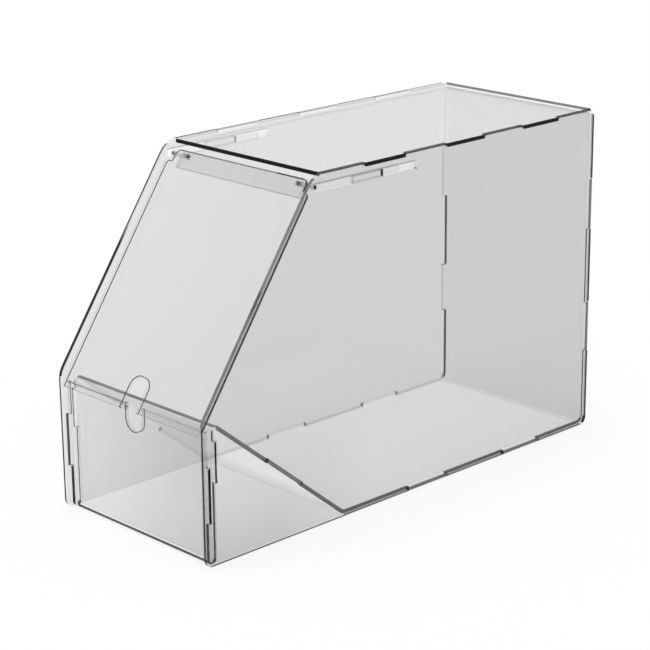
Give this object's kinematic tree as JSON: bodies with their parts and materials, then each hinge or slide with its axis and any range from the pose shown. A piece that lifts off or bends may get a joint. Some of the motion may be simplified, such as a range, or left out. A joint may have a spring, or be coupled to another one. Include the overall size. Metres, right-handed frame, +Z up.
{
  "type": "acrylic display bin",
  "caption": "Tall narrow clear acrylic bin with a ramp floor, a label pocket in front and a sloping lid that swings up and slides back.",
  "frame": {"origin": "middle of the footprint of the side panels, on the underside of the floor", "axes": "+Z up, +X towards the right side panel seen from the front, the front and its lid face -Y"},
  "size_m": [0.156, 0.4011, 0.2552],
  "materials": {
    "clear_acrylic": "clear, polished",
    "clear_acrylic_bent": "clear, heat bent",
    "clear_acrylic_hardware": "clear, cut edges dark"
  },
  "bodies": {
    "bin": {"left_side_panel": "clear_acrylic", "right_side_panel": "clear_acrylic", "bent_body_sheet": "clear_acrylic_bent", "top_panel": "clear_acrylic"},
    "left_runner": {"left_runner_bar": "clear_acrylic_bent", "left_runner_key": "clear_acrylic_hardware"},
    "right_runner": {"right_runner_bar": "clear_acrylic_bent", "right_runner_key": "clear_acrylic_hardware"},
    "lid": {"lid_panel": "clear_acrylic", "lid_hinge_strip": "clear_acrylic_bent", "left_hinge_pin": "clear_acrylic_hardware", "right_hinge_pin": "clear_acrylic_hardware"}
  },
  "joints": [
    {"name": "left_runner_slide", "type": "slide", "parent": "bin", "child": "left_runner", "axis": [0, 1, 0], "range_m": [0, 0.033]},
    {"name": "right_runner_slide", "type": "slide", "parent": "bin", "child": "right_runner", "axis": [0, 1, 0], "range_m": [0, 0.033]},
    {"name": "lid_swing", "type": "hinge", "parent": "left_runner", "child": "lid", "pos_m": [0, -0.09125, 0.245], "axis": [-1, 0, 0], "range_deg": [0, 55.3]}
  ],
  "couplings": [
    {"joint": "left_runner_slide", "follows": "lid_swing", "m_per_rad": 0.0341},
    {"joint": "right_runner_slide", "follows": "lid_swing", "m_per_rad": 0.0341}
  ]
}
